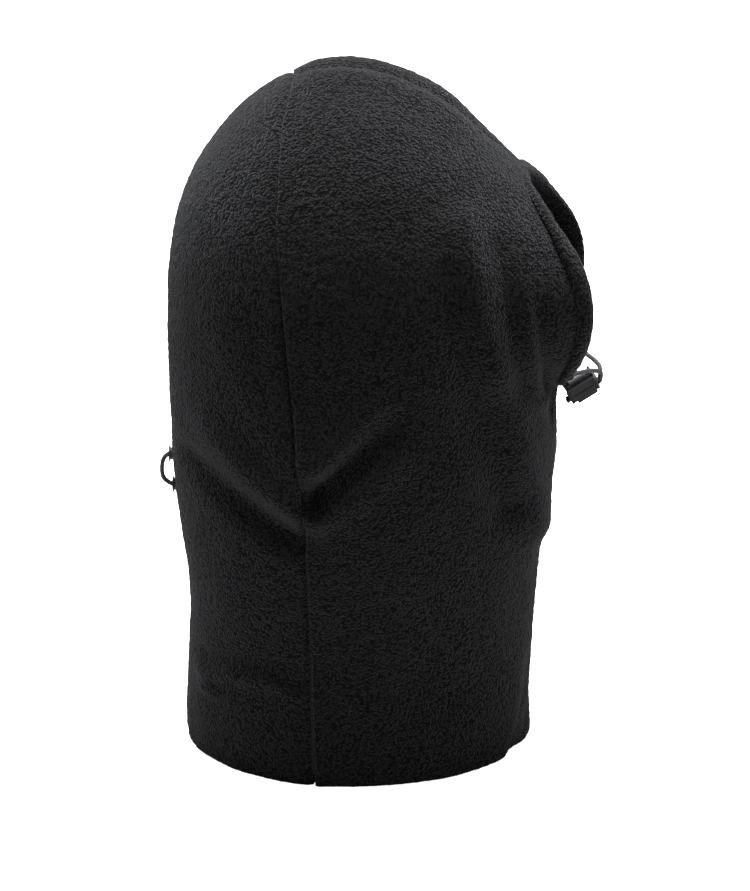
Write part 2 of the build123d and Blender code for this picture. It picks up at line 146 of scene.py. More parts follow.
# The front's reach, blurred over SOFTENING up to the forehead and exact from there to the crown.
SOFTENING = 11.0
SOFT_STEPS = 120
SOFT_TOP, SOFT_FADE = 325.0, 20.0  # height where the blur starts to go, and how soon it is gone
EXACT_Z = np.linspace(-40, CROWN_Z, 1625)
EXACT_FRONT = exact_section(EXACT_Z)[2]
SOFT = np.exp(-((np.arange(-SOFT_STEPS, SOFT_STEPS + 1) * 0.25 / SOFTENING) ** 2))
SOFT_FRONT = np.convolve(np.pad(EXACT_FRONT, SOFT_STEPS, "edge"), SOFT / SOFT.sum(), "valid")
SOFT_FRONT += smooth((EXACT_Z - SOFT_TOP) / SOFT_FADE) * (EXACT_FRONT - SOFT_FRONT)


def section(z):
    """The same with the front's changes of slope at chin and brow rounded off."""
    width, back, _ = exact_section(z)
    return width, back, np.interp(z, EXACT_Z, SOFT_FRONT)


def surface(z, angle, side):
    """Points on the form; angle runs from the back (pi/2) over the side (0) to the front (-pi/2)."""
    width, back, front = section(z)
    reach = np.where(np.sin(angle) > 0, back, front)
    return np.stack([side * width * np.cos(angle), WIDEST_Y + reach * np.sin(angle), z + 0 * angle], -1)


def rim_point(turn):
    """Point on the opening's edge; turn 0 is the brow, 0.5 the chin, 0.25 the wearer's left."""
    z = FACE_MIDDLE + FACE_HALF_HEIGHT * cos(2 * pi * turn)
    return np.array([FACE_HALF_WIDTH * sin(2 * pi * turn), float(rim_y(np.float64(z))), z])


def rim_directions(turn, step=0.001):
    """Unit directions at the opening's edge: back over the cloth, and out from the face."""
    along = rim_point(turn + step) - rim_point(turn - step)
    along /= np.linalg.norm(along)
    back = np.array([0.0, 1.0, 1.2 * cos(2 * pi * turn)])
    back -= along * (back @ along)
    back /= np.linalg.norm(back)
    out = np.cross(along, back)
    return back, out * np.sign(out @ (rim_point(turn) - [0, 0, FACE_MIDDLE]))


def seam_y(z):
    """Y of the side seam at height z."""
    return np.interp(z, [p[0] for p in SEAM_Y], [p[1] for p in SEAM_Y])


def seam_angle(z):
    """The same as an angle for surface()."""
    _, back, _ = section(z)
    return np.arcsin(np.clip((seam_y(z) - WIDEST_Y) / back, -1, 1))


# ---------------------------------------------------------------- folds in the cloth
# Each fold is a line of (y, z) on the side of the hood, its depth at each end, where plus stands
# out, and its width. They are, in order: the pucker in front of the side seam with its lower lip
# and the bulge over it, the valley that meets it from behind with the ridges above, the long
# ridge down from the temple with a valley on each side, the crease beside the cheek with its
# ridge, two ridges and a valley over the hem at the back, a soft dent, and the crease at the
# hem's front.
FOLDS = [
    ([(21, 158), (12, 167), (-2, 181), (-18, 198)], (-13.0, -3.0), 7.0),
    ([(16, 150), (2, 160), (-22, 178)], (4.0, 2.0), 8.0),
    ([(18, 176), (6, 190), (-8, 206)], (3.5, 1.5), 9.0),
    ([(86, 168), (58, 152), (32, 136)], (-4.0, -6.0), 8.0),
    ([(76, 190), (52, 170), (30, 154)], (2.5, 4.5), 8.0),
    ([(68, 244), (46, 204), (32, 178)], (1.5, 3.0), 12.0),
    ([(-54, 297), (-61, 251), (-71, 220), (-81, 188), (-90, 145), (-95, 124)], (4.0, 4.5), 9.0),
    ([(-47, 270), (-52, 236), (-64, 190), (-80, 145)], (-1.5, -6.5), 10.0),
    ([(-72, 284), (-78, 246), (-84, 210)], (-2.0, -4.0), 7.0),
    ([(-91, 254), (-93, 240), (-95, 227), (-98, 214), (-101, 203)], (-2.5, -8.0), 4.5),
    ([(-86, 254), (-89, 236), (-93, 214), (-97, 197)], (1.5, 1.5), 5.0),
    ([(80, 46), (66, 53), (46, 54), (28, 48)], (3.6, 1.0), 4.5),
    ([(80, 38), (66, 38)], (2.4, 0.5), 3.5),
    ([(80, 56), (60, 62), (36, 62)], (-2.2, -0.5), 5.0),
    ([(-36, 54), (-48, 44)], (-1.8, -1.8), 12.0),
    ([(-94, 48), (-93, 32), (-90, 14), (-84, -2)], (-1.5, -4.0), 4.0),
]


def fold_depth(points, side):
    """How far the folds push each point out. The left side's are shifted and a little weaker."""
    y, z = points[..., 1], points[..., 2]
    total = np.zeros(y.shape)
    for number, (line, depths, width) in enumerate(FOLDS):
        line = np.array(line, float)
        strength = 1.0
        if side > 0:
            line += [3 * sin(number * 2.1), 7 * cos(number * 1.7)]
            strength = 0.8
        best = np.full(y.shape, 1e9)
        share = np.zeros(y.shape)
        count = len(line) - 1
        for i in range(count):
            a, b = line[i], line[i + 1]
            d = b - a
            t = np.clip(((y - a[0]) * d[0] + (z - a[1]) * d[1]) / (d @ d), 0, 1)
            away = np.hypot(y - a[0] - t * d[0], z - a[1] - t * d[1])
            nearer = away < best
            best = np.where(nearer, away, best)
            share = np.where(nearer, (i + t) / count, share)
        depth = depths[0] + (depths[1] - depths[0]) * share
        total += strength * depth * np.exp(-((best / width) ** 2))
    return total


VALLEY_DEPTH, VALLEY_WIDTH = 3.5, 4.5
LOBE_HEIGHT, LOBE_X, LOBE_WIDTH = 2.6, 17.0, 9.0
PLEATS_Z, PLEATS_RISE = 318.0, 30.0  # height where the pleats start, and how soon they are full
PLEATS_BACK, PLEATS_FADE = 36.0, 16.0  # the same from the back panel forwards


def crown_pleats(points):
    """The top seam sits in a valley between two soft lobes."""
    x, y, z = np.abs(points[..., 0]), points[..., 1], points[..., 2]
    valley = -VALLEY_DEPTH * np.exp(-((x / VALLEY_WIDTH) ** 2))
    lobe = LOBE_HEIGHT * np.exp(-(((x - LOBE_X) / LOBE_WIDTH) ** 2))
    top = smooth((z - PLEATS_Z) / PLEATS_RISE)
    return top * (valley + lobe) * smooth((PLEATS_BACK - y) / PLEATS_FADE)


def wander(points, size, seed):
    """Smooth noise, one value for each point, with lumps of the given size."""
    flat = points.reshape(-1, 3) / size + seed
    return np.array([noise.noise(Vector(p)) for p in flat]).reshape(points.shape[:-1])


# ---------------------------------------------------------------- meshes
def mesh_object(name, vertices, faces, material):
    """Object with smooth shading from vertices in the form's millimetres."""
    mesh = bpy.data.meshes.new(name)
    mesh.from_pydata([placed(v) for v in np.asarray(vertices, float)], [], faces)
    mesh.validate()
    mesh.update()
    obj = bpy.data.objects.new(name, mesh)
    bpy.context.scene.collection.objects.link(obj)
    mesh.materials.append(material)
    mesh.polygons.foreach_set("use_smooth", [True] * len(mesh.polygons))
    return obj


def form_normals(points):
    """Outward directions square to the form, from the slope of its oval sections."""
    x, y, z = points[..., 0], points[..., 1] - WIDEST_Y, points[..., 2]

    def level(height):
        width, back, front = section(height)
        reach = np.where(y > 0, back, front)
        return (x / width) ** 2 + (y / reach) ** 2, x / width**2, y / reach**2

    step = 0.02
    here, along_x, along_y = level(z)
    climb = (here - level(z - step)[0]) / step
    n = np.stack([2 * along_x, 2 * along_y, climb], -1)
    return n / np.linalg.norm(n, axis=-1, keepdims=True)


def thick_sheet(outer, inner):
    """Vertices and faces of a closed sheet between two grids of points."""
    rows, cols = outer.shape[:2]
    count = rows * cols
    index = np.arange(count).reshape(rows, cols)
    a, b, c, d = index[:-1, :-1], index[:-1, 1:], index[1:, 1:], index[1:, :-1]
    top = np.stack([a, b, c, d], -1).reshape(-1, 4)
    under = top[:, ::-1] + count
    ring = np.concatenate([index[0, :-1], index[:-1, -1], index[-1, :0:-1], index[:0:-1, 0]])
    after = np.roll(ring, -1)
    edge = np.stack([after, ring, ring + count, after + count], -1)
    vertices = np.concatenate([outer.reshape(-1, 3), inner.reshape(-1, 3)])
    return vertices, np.concatenate([top, under, edge]).tolist()


def wrapped_faces(rows, cols):
    """Faces of a grid that closes on itself both ways."""
    faces = []
    for i in range(rows):
        n = (i + 1) % rows
        for j in range(cols):
            k = (j + 1) % cols
            faces.append([i * cols + j, n * cols + j, n * cols + k, i * cols + k])
    return faces


RIM = np.array([rim_point(t) for t in np.linspace(0, 1, 90, endpoint=False)])


def from_rim(points):
    """Distance of each point from the face opening's edge."""
    nearest = np.full(points.shape[:-1], 1e9)
    for spot in RIM:
        nearest = np.minimum(nearest, np.sum((points - spot) ** 2, -1))
    return np.sqrt(nearest)


MIDDLE_STRIP = 14.0  # the folds fade in from the middle line to here
MIDDLE_KEEP, MIDDLE_KEEP_TOP = 0.35, 200.0  # share of a fold on the middle line, below this height
RIM_CLEAR, RIM_FADE = 3.0, 11.0  # no folds this near the opening's edge, then a soft start
CHIN_HOLLOW, CHIN_WIDTH, CHIN_HEIGHT = 5.5, 10.0, 13.0


def cloth_depth(base):
    """How far the resting cloth's outside stands from the form, folds and slack included."""
    depth = np.where(base[..., 0] < 0, fold_depth(base, -1), fold_depth(base, 1))
    x, y, z = np.abs(base[..., 0]), base[..., 1], base[..., 2]
    beside_middle = smooth(x / MIDDLE_STRIP)
    across_middle = MIDDLE_KEEP + (1 - MIDDLE_KEEP) * beside_middle
    keep = np.where(z > MIDDLE_KEEP_TOP, beside_middle, across_middle)
    off_chin = ((x - LOCK_REACH) / CHIN_WIDTH) ** 2 + ((z - LOCK_REST_Z) / CHIN_HEIGHT) ** 2
    under_chin = np.exp(-off_chin) * (y < 0)
    depth = depth * keep * smooth((from_rim(base) - RIM_CLEAR) / RIM_FADE)
    depth += crown_pleats(base) - CHIN_HOLLOW * under_chin
    return depth + 1.3 * wander(base, 62.0, 3.7) + 0.55 * wander(base, 21.0, 9.1) - SHEET_INSET


HEM_RISE, HEM_RISE_Y = 0.6, 90.0  # how much, and how far from the middle it is reached
HEM_SETTLE = 30.0  # above this height the cloth doesn't follow the hem's rise


def hem_lift(y):
    """The hem rises a little towards front and back."""
    return HEM_RISE * np.clip(np.abs(y) / HEM_RISE_Y, 0, 1) ** 2 + FLOOR_GAP


def sheet(name, z_rows, angles, side, edge_shape, material, flip):
    """One panel: rows at heights z_rows, each with its own run of angles."""
    base = surface(z_rows[:, None], angles, side)
    normal = form_normals(base)
    depth = cloth_depth(base) + edge_shape(base)
    pile = 0.34 * wander(base, 3.1, 1.3) + 0.3 * wander(base, 1.9, 5.9)
    outer = base + normal * (depth + pile)[..., None]
    inner = base + normal * (depth - FLEECE)[..., None]
    near_hem = 1 - smooth(base[..., 2] / HEM_SETTLE)
    lift = (hem_lift(base[..., 1]) - FLOOR_GAP) * near_hem + FLOOR_GAP
    outer[..., 2] += lift
    inner[..., 2] += lift
    vertices, faces = thick_sheet(outer, inner)
    if flip:
        faces = [f[::-1] for f in faces]
    return mesh_object(name, vertices, faces, material)


def spaced_rows(low, high):
    """Heights at even spacing up the side and over the dome."""
    rows = list(np.arange(low, min(high, DOME_START), GRID))
    rise = CROWN_Z - DOME_START
    end = np.arcsin(min(1.0, (high - DOME_START) / rise))
    steps = int(end * 108 / GRID)
    rows += [DOME_START + rise * sin(t) for t in np.linspace(0.0, end, steps)]
    return np.array(sorted(set(np.round(rows, 4))))


def side_edges(points):
    """Side panel: a rolled lip at the side seam that stands over the back panel."""
    away = np.abs(points[..., 1] - seam_y(points[..., 2]))
    away = np.where(points[..., 2] > CROWN_Z - 7, 99.0, away)
    front = np.abs(points[..., 0]) + 40 * (points[..., 1] > 0)
    roll = 0.9 * np.exp(-((away / 5.0) ** 2)) - 1.5 * np.exp(-((away / 0.9) ** 2))
    roll += -1.4 * np.exp(-((front / 1.3) ** 2))
    return roll


def back_edges(points):
    """Back panel: its edges dip under the side panels' lips."""
    away = np.abs(points[..., 1] - seam_y(points[..., 2]))
    return -1.0 * np.exp(-((away / 2.4) ** 2)) - 1.0 * np.exp(-((away / 0.9) ** 2))


PANEL_HALF_WIDTH = 53.0  # edge of the cloth around the face, tucked into the casing
PANEL_HALF_HEIGHT = FACE_HALF_HEIGHT + 1.5
SIDE_LENGTH, BACK_LENGTH = 172, 210  # round the widest part of a side panel and of the back
SEAM_HALF_GAP = 0.5 / 75  # from each panel's edge to the seam's line, as an angle
MIDDLE_HALF_GAP = 0.45  # the same in millimetres, at the front and top seams


def side_panel(name, side, material):
    """Cloth from the side seam forward to the middle line and to the face opening."""
    z = spaced_rows(0.0, CROWN_Z - 0.03)
    start = seam_angle(z) - SEAM_HALF_GAP
    width, _, _ = section(z)
    inside = np.abs(z - FACE_MIDDLE) < PANEL_HALF_HEIGHT
    share = np.clip((z - FACE_MIDDLE) / PANEL_HALF_HEIGHT, -1, 1)
    edge_x = np.where(inside, PANEL_HALF_WIDTH * np.sqrt(1 - share**2), 0.0)
    edge_x = np.maximum(edge_x, MIDDLE_HALF_GAP)
    end = -np.arccos(np.clip(edge_x / width, 0, 1))
    start = np.minimum(start, np.arccos(np.clip(MIDDLE_HALF_GAP / width, 0, 1)))
    share = np.linspace(0, 1, int(SIDE_LENGTH / GRID))[None, :]
    angles = start[:, None] + (end - start)[:, None] * share
    return sheet(name, z, angles, side, side_edges, material, flip=side > 0)


def back_panel(name, material):
    """Cloth round the back from one side seam to the other, narrowing to the crown."""
    z = spaced_rows(0.0, CROWN_Z - 4.3)
    start = seam_angle(z) + SEAM_HALF_GAP
    share = np.linspace(0, 1, int(BACK_LENGTH / GRID))[None, :]
    angles = start[:, None] + (pi - 2 * start)[:, None] * share
    return sheet(name, z, angles, 1, back_edges, material, flip=False)


def through(points, step):
    """Even points along a smooth curve through the given ones."""
    p = np.asarray(points, float)
    ends = np.concatenate([[2 * p[0] - p[1]], p, [2 * p[-1] - p[-2]]])
    out = []
    for i in range(1, len(ends) - 2):
        a, b, c, d = ends[i - 1 : i + 3]
        square = 2 * a - 5 * b + 4 * c - d
        cube = 3 * b - a - 3 * c + d
        for t in np.linspace(0, 1, 24, endpoint=False):
            out.append(b + 0.5 * ((c - a) * t + square * t**2 + cube * t**3))
    out.append(p[-1])
    out = np.array(out)
    run = np.concatenate([[0], np.cumsum(np.linalg.norm(np.diff(out, axis=0), axis=1))])
    at = np.linspace(0, run[-1], max(2, int(run[-1] / step) + 1))
    return np.stack([np.interp(at, run, out[:, k]) for k in range(3)], -1)


def frames_along(p):
    """Tangent and two steady side directions at each point of a curve."""
    tangent = np.gradient(p, axis=0)
    tangent /= np.linalg.norm(tangent, axis=1, keepdims=True)
    first = np.cross(tangent[0], [0.31, 0.2, 0.93])
    side = [first / np.linalg.norm(first)]
    for t in tangent[1:]:
        s = side[-1] - t * (side[-1] @ t)
        side.append(s / np.linalg.norm(s))
    side = np.array(side)
    return tangent, side, np.cross(tangent, side)


def rod(points, radius, sides=16, shape=None):
    """Vertices and faces of a closed rod; shape(step, angle) scales its radius."""
    _, u, v = frames_along(points)
    angle = np.linspace(0, 2 * pi, sides, endpoint=False)
    steps = np.arange(len(points))
    scale = shape(steps[:, None], angle[None, :]) if shape else np.ones((len(points), sides))
    ring = u[:, None, :] * np.cos(angle)[None, :, None] + v[:, None, :] * np.sin(angle)[None, :, None]
    vertices = (points[:, None, :] + radius * scale[..., None] * ring).reshape(-1, 3)
    faces = []
    for i in range(len(points) - 1):
        for j in range(sides):
            k = (j + 1) % sides
            faces.append([i * sides + j, i * sides + k, (i + 1) * sides + k, (i + 1) * sides + j])
    faces.append(list(range(sides))[::-1])
    last = (len(points) - 1) * sides
    faces.append([last + j for j in range(sides)])
    return vertices, faces


def join(parts):
    """Vertices and faces of several shapes as one."""
    vertices, faces, count = [], [], 0
    for v, f in parts:
        vertices.append(v)
        faces += [[i + count for i in face] for face in f]
        count += len(v)
    return np.concatenate(vertices), faces


def stitches(points, length, gap, radius):
    """A row of short stitches along a curve, each one dipping into the cloth at its ends."""
    run = through(points, 0.5)
    pitch = int((length + gap) / 0.5)
    used = int(length / 0.5)
    parts = []
    for start in range(0, len(run) - used, pitch):
        piece = run[start : start + used + 1]
        bow = lambda step, angle, n=used: 0.45 + 0.55 * np.sin(pi * (step + 0.4) / (n + 0.8)) + 0 * angle
        parts.append(rod(piece, radius, 6, bow))
    return join(parts)


# ---------------------------------------------------------------- materials
def new_material(name):
    """A material with its nodes, links and shader."""
    material = bpy.data.materials.new(name)
    material.use_nodes = True
    nodes, links = material.node_tree.nodes, material.node_tree.links
    return material, nodes, links, nodes["Principled BSDF"]


def noise_texture(nodes, links, place, scale):
    texture = nodes.new("ShaderNodeTexNoise")
    texture.inputs["Scale"].default_value = scale
    links.new(place.outputs["Object"], texture.inputs["Vector"])
    return texture


def bump(nodes, links, height, strength, distance):
    relief = nodes.new("ShaderNodeBump")
    relief.inputs["Strength"].default_value = strength
    relief.inputs["Distance"].default_value = distance
    links.new(height, relief.inputs["Height"])
    return relief


def fleece_material(name="fleece"):
    """Black brushed fleece: small curls, with painted shade darkening the gaps between them, and a soft
    sheen.
    """
    material, nodes, links, shader = new_material(name)
    place = nodes.new("ShaderNodeTexCoord")
    wobble = noise_texture(nodes, links, place, 700)
    wobble.inputs["Detail"].default_value = 1.0
    shift = nodes.new("ShaderNodeVectorMath")
    shift.operation = "MULTIPLY_ADD"
    shift.inputs[1].default_value = (0.0016, 0.0016, 0.0016)
    links.new(wobble.outputs["Color"], shift.inputs[0])
    links.new(place.outputs["Object"], shift.inputs[2])
    cells = nodes.new("ShaderNodeTexVoronoi")
    cells.inputs["Scale"].default_value = 740
    links.new(shift.outputs["Vector"], cells.inputs["Vector"])
    curls_and_gap_shade = nodes.new("ShaderNodeMapRange")
    curls_and_gap_shade.inputs["From Min"].default_value = 0.68
    curls_and_gap_shade.inputs["From Max"].default_value = 0.22
    links.new(cells.outputs["Distance"], curls_and_gap_shade.inputs["Value"])
    fibres = noise_texture(nodes, links, place, 2600)
    clouds = noise_texture(nodes, links, place, 60)
    # Painted shade: the base colour darkens from each curl's middle out into the gaps between curls, where
    # shade falls; the bump from the same pattern is real relief.
    ramp = nodes.new("ShaderNodeValToRGB")
    ramp.color_ramp.elements[0].position = 0.0
    ramp.color_ramp.elements[0].color = (0.0012, 0.0012, 0.0013, 1)
    ramp.color_ramp.elements[1].position = 0.8
    ramp.color_ramp.elements[1].color = (0.0068, 0.0068, 0.0073, 1)
    links.new(curls_and_gap_shade.outputs["Result"], ramp.inputs["Fac"])
    tone = nodes.new("ShaderNodeMixRGB")
    tone.blend_type = "MULTIPLY"
    tone.inputs["Fac"].default_value = 0.3
    links.new(ramp.outputs["Color"], tone.inputs["Color1"])
    links.new(clouds.outputs["Fac"], tone.inputs["Color2"])
    links.new(tone.outputs["Color"], shader.inputs["Base Color"])
    coarse = bump(nodes, links, curls_and_gap_shade.outputs["Result"], 1.0, 0.0009)
    fine = bump(nodes, links, fibres.outputs["Fac"], 0.35, 0.0003)
    links.new(coarse.outputs["Normal"], fine.inputs["Normal"])
    links.new(fine.outputs["Normal"], shader.inputs["Normal"])
    shader.inputs["Roughness"].default_value = 0.95
    shader.inputs["Specular IOR Level"].default_value = 0.04
    shader.inputs["Sheen Weight"].default_value = 0.05
    shader.inputs["Sheen Roughness"].default_value = 0.45
    shader.inputs["Sheen Tint"].default_value = (0.75, 0.77, 0.82, 1)
    return material


def woven_material(name, colour, scale, roughness=0.75, depth=0.0002):
    """Plain weave or braid: two crossed sets of fine waves."""
    material, nodes, links, shader = new_material(name)
    place = nodes.new("ShaderNodeTexCoord")
    waves = []
    for direction in ("X", "Z"):
        wave = nodes.new("ShaderNodeTexWave")
        wave.bands_direction = direction
        wave.inputs["Scale"].default_value = scale
        wave.inputs["Distortion"].default_value = 0.6
        links.new(place.outputs["Object"], wave.inputs["Vector"])
        waves.append(wave)
    mix = nodes.new("ShaderNodeMath")
    mix.operation = "MULTIPLY"
    links.new(waves[0].outputs["Fac"], mix.inputs[0])
    links.new(waves[1].outputs["Fac"], mix.inputs[1])
    ramp = nodes.new("ShaderNodeValToRGB")
    ramp.color_ramp.elements[0].color = (*[c * 0.45 for c in colour], 1)
    ramp.color_ramp.elements[1].color = (*[c * 1.25 for c in colour], 1)
    links.new(mix.outputs[0], ramp.inputs["Fac"])
    links.new(ramp.outputs["Color"], shader.inputs["Base Color"])
    relief = bump(nodes, links, mix.outputs[0], 0.7, depth)
    links.new(relief.outputs["Normal"], shader.inputs["Normal"])
    shader.inputs["Roughness"].default_value = roughness
    shader.inputs["Specular IOR Level"].default_value = 0.1
    return material


def moulded_material(name, colour, roughness):
    """Moulded plastic with a faint texture and slightly uneven gloss."""
    material, nodes, links, shader = new_material(name)
    place = nodes.new("ShaderNodeTexCoord")
    grain = noise_texture(nodes, links, place, 1800)
    spread = nodes.new("ShaderNodeMapRange")
    spread.inputs["To Min"].default_value = roughness - 0.08
    spread.inputs["To Max"].default_value = roughness + 0.1
    links.new(grain.outputs["Fac"], spread.inputs["Value"])
    links.new(spread.outputs["Result"], shader.inputs["Roughness"])
    relief = bump(nodes, links, grain.outputs["Fac"], 0.25, 0.00006)
    links.new(relief.outputs["Normal"], shader.inputs["Normal"])
    shader.inputs["Base Color"].default_value = (*colour, 1)
    shader.inputs["Specular IOR Level"].default_value = 0.16
    return material


FLEECE_CLOTH = fleece_material()
THREAD = woven_material("thread", (0.012, 0.012, 0.013), 900)
CORD = woven_material("cord", (0.03, 0.03, 0.033), 420, 0.6)
WEBBING = woven_material("webbing", (0.13, 0.13, 0.14), 330, 0.55, 0.00015)
TAPE = woven_material("tape", (0.016, 0.016, 0.018), 300)
LABEL = woven_material("label", (0.62, 0.62, 0.6), 900, 0.6, 0.00005)
PLASTIC = moulded_material("lock plastic", (0.005, 0.005, 0.0055), 0.42)
EYELET = moulded_material("eyelet plastic", (0.014, 0.014, 0.015), 0.5)
STEEL = moulded_material("spring steel", (0.55, 0.55, 0.56), 0.3)
STEEL.node_tree.nodes["Principled BSDF"].inputs["Metallic"].default_value = 1.0


def cloth_piece(obj, slot, *nodes):
    """Fix a piece to the hood in place of the CAD nodes it stands for."""
    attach(obj, "hood")
    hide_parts(*nodes)
    return obj


# ---------------------------------------------------------------- the cloth
cloth_piece(side_panel("right_side_cloth", -1, FLEECE_CLOTH), "fleece", "right_side_panel")
cloth_piece(side_panel("left_side_cloth", 1, FLEECE_CLOTH), "fleece", "left_side_panel")
cloth_piece(back_panel("back_cloth", FLEECE_CLOTH), "fleece", "back_panel")


CASING_LENGTH, CASING_THICKNESS = 4.6, 2.9  # half of each
CASING_TILT = 0.42  # its flat side turns this far in towards the face


def casing_mesh():
    """Rolled casing round the face: a flattened tube, gathered a little by its cord."""
    count = 560
    sides = 36
    turns = np.arange(count) / count
    centre = np.array([rim_point(t) for t in turns])
    directions = np.array([rim_directions(t, 1 / count) for t in turns])
    back, out = directions[:, 0], directions[:, 1]
    angle = np.linspace(0, 2 * pi, sides, endpoint=False)
    fine_gather = np.sin(turns * 2 * pi * 34 + 2 * np.sin(turns * 17))
    broad_gather = np.sin(turns * 2 * pi * 11 + 1)
    length = CASING_LENGTH + 0.5 * np.sin(turns * 2 * pi * 5 + 0.6)
    thick = CASING_THICKNESS + 0.25 * (0.35 * fine_gather + 0.5 * broad_gather)
    lay = -back * cos(CASING_TILT) - out * sin(CASING_TILT)
    stand = out * cos(CASING_TILT) - back * sin(CASING_TILT)
    middle = centre + back * 0.2 - out * 1.0
    ring = (
        lay[:, None, :] * (length[:, None] * np.cos(angle))[..., None]
        + stand[:, None, :] * (thick[:, None] * np.sin(angle))[..., None]
    )
    p = middle[:, None, :] + ring
    direction = ring / np.linalg.norm(ring, axis=-1, keepdims=True)
    pile = 0.3 * wander(p, 3.1, 2.3) + 0.25 * wander(p, 1.9, 4.9)
    p = p + direction * pile[..., None]
    return p.reshape(-1, 3), wrapped_faces(count, sides)


casing = mesh_object("casing_cloth", *casing_mesh(), FLEECE_CLOTH)
cloth_piece(casing, "fleece", "face_casing", "chin_binding")


def hem_mesh():
    """Turned-up facing inside the neck edge with a rounded fold at the bottom."""
    top = [(3.1, 20.5), (4.0, 21.4), (5.2, 20.6), (5.4, 12.0)]  # inset from the form, height
    fold = [(5.2, 4.0), (4.4, 1.6), (3.3, 0.9), (2.9, 3.0)]
    profile = top + fold
    count = 420
    angle = np.linspace(-pi, pi, count, endpoint=False)
    rows = []
    for inset, z in profile:
        width, back, front = section(np.float64(z))
        reach = np.where(np.sin(angle) > 0, back, front) - inset
        y = WIDEST_Y + reach * np.sin(angle)
        lift = hem_lift(y)
        wave = 0.35 * np.sin(angle * 23) + 0.25 * np.sin(angle * 41 + 1)
        rows.append(np.stack([(width - inset + wave) * np.cos(angle), y, z + lift], -1))
    return np.array(rows).reshape(-1, 3), wrapped_faces(len(profile), count)


cloth_piece(mesh_object("hem_cloth", *hem_mesh(), FLEECE_CLOTH), "fleece", "hem_facing")


# ---------------------------------------------------------------- stitches
def under_cloth(z, angle, side, inset):
    """Points inside the folded cloth, inset from its outside."""
    p = surface(z, angle, side)
    depth = cloth_depth(p) - inset
    outward = (p - [0, WIDEST_Y, 0]) * [1, 1, 0]
    return p + outward / np.linalg.norm(outward, axis=-1, keepdims=True) * depth[..., None]


def seam_line(side):
    """The side seam, inside the folded cloth."""
    z = np.arange(4.0, CROWN_SEAM_Z, 3.0)
    return under_cloth(z, seam_angle(z), side, 1.9)


def middle_line(z, angle):
    """Points on the middle line, inside the cloth."""
    p = surface(z, angle + 0 * z, 1)
    p[:, 0] = 0
    p[:, 1] += 3.8
    return p


def seam(name, line):
    """Stitches in the groove and, inside, the ridge of overlocked cloth edges they hold together."""
    line = np.asarray(line, float)
    to_middle = np.array([0.0, WIDEST_Y, 180.0]) - line
    to_middle /= np.linalg.norm(to_middle, axis=1, keepdims=True)
    overlock = lambda step, angle: 1 + 0.12 * np.cos(step * 1.6 + angle)
    ridge = rod(through(line + to_middle * 2.6, 0.8), 2.0, 12, overlock)
    row = mesh_object(name + "_thread", *join([stitches(line, 2.6, 0.9, 0.28), ridge]), THREAD)
    cloth_piece(row, "thread", name)


seam("right_side_seam", seam_line(-1))
seam("left_side_seam", seam_line(1))

seam("front_seam", middle_line(np.arange(4.0, 192.0, 6.0), -pi / 2))

brow_z = np.array([320.0, 326, 333, 340, 346, 351, 355.5, 359])
top_line = middle_line(brow_z, -pi / 2)
top_line[:, 2] -= 2.5 + 7.0 * smooth((brow_z - 318) / 30)
seam("top_seam", top_line)

CROSS = [(-1, 345), (-1, 350), (-1, 353.5), (1, 353.5), (1, 350), (1, 345)]
cross = np.array([surface(np.float64(z), seam_angle(np.float64(z)), side) for side, z in CROSS])
cross[:, 2] -= 8.0
seam("crown_cross_seam", cross)


def casing_stitch_line():
    """Just behind the casing, all the way round."""
    points = []
    for turn in np.linspace(0.004, 0.996, 101):
        back, out = rim_directions(turn)
        points.append(rim_point(turn) + back * 4.3 - out * 0.9)
    return points


casing_row = stitches(casing_stitch_line(), 2.4, 1.0, 0.34)
cloth_piece(mesh_object("casing_stitches", *casing_row, THREAD), "thread", "casing_seam")


# ---------------------------------------------------------------- cords
BAR = np.array([0.0, -113.0, 198.5])  # middle of the bar that the lock swings on
LOCK_UP = np.array([0.0, 0.56, 0.83]) / sqrt(0.56**2 + 0.83**2)
LOCK_BACK = np.array([0.0, LOCK_UP[2], -LOCK_UP[1]])
CORD_LINE = -7.15  # height of the cords in the lock, from its bar
LOCK_END = 8.2  # from the bar to the lock's mouth
CORD_EXIT = 0.41  # turn round the opening's edge at which the cord comes out
CORD_RADIUS = 1.2
CORD_STEP = 0.35  # mesh spacing along a cord
CORD_SIDES = 16


def lock_point(x, y, z):
    """A point given in the lock's own directions, from its bar."""
    return BAR + np.array([x, 0, 0]) + LOCK_BACK * y + LOCK_UP * z


def cord_end(side):
    """The cord's way from its exit in the casing to the lock's mouth."""
    return [
        np.array([side * 20.0, -113.2, 208.3]),
        np.array([side * 12.0, -119.6, 206.8]),
        np.array([side * 5.5, -124.6, 203.6]),
        lock_point(side * 1.9, -LOCK_END - 1.6, CORD_LINE + 0.5),
        lock_point(side * 1.7, -LOCK_END - 0.1, CORD_LINE),
    ]


def braid(step, angle):
    """Small plaited bumps round a cord."""
    return 1 + 0.05 * np.cos(4 * angle + step * 0.55) * np.cos(4 * angle - step * 0.55)


ROUND = [rim_point(CORD_EXIT * (i / 12 - 1)) for i in range(25)]
cord_run = through(cord_end(-1)[::-1] + ROUND + cord_end(1), CORD_STEP)
cord = mesh_object("cord_braid", *rod(cord_run, CORD_RADIUS, CORD_SIDES, braid), CORD)
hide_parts("face_cord")
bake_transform(cord)

# ---------------------------------------------------------------- leaf spring in the lock
SPRING_REACH, SPRING_HALF_WIDTH, SPRING_STEEL = 4.5, 2.0, 0.18
SPRING_FOOT, SPRING_CREST = -5.24, -3.22  # heights from the lock's bar


